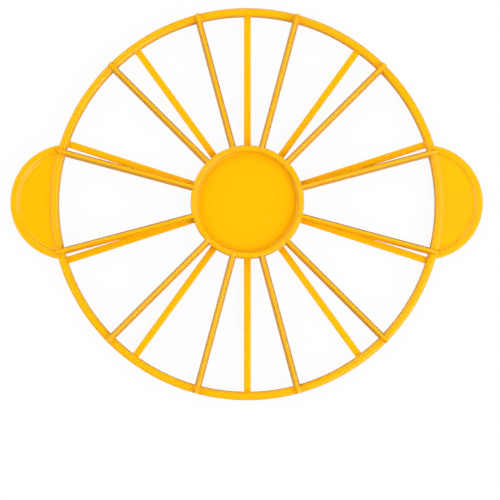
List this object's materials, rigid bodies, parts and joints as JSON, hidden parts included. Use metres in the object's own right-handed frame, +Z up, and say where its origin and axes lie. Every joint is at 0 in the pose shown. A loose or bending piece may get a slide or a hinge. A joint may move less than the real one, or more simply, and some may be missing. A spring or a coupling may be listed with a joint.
{
  "type": "cake portion marker",
  "caption": "Flat round marker with a recessed hub, ribs on both sides that stamp equal portions, an outer ring and a half-moon grip at each end.",
  "frame": {"origin": "on the ring's axis, in the plane of the lower ridges on which the marker rests", "axes": "+Z up along the ring's axis, from the side with ten ribs to the side with twelve; +X along the line through both grips"},
  "size_m": [0.3244, 0.27, 0.016],
  "materials": {
    "moulded_plastic": "warm yellow food-grade polypropylene, satin to semi-gloss, as moulded"
  },
  "bodies": {
    "root": {"portion_marker": "moulded_plastic"}
  },
  "joints": []
}
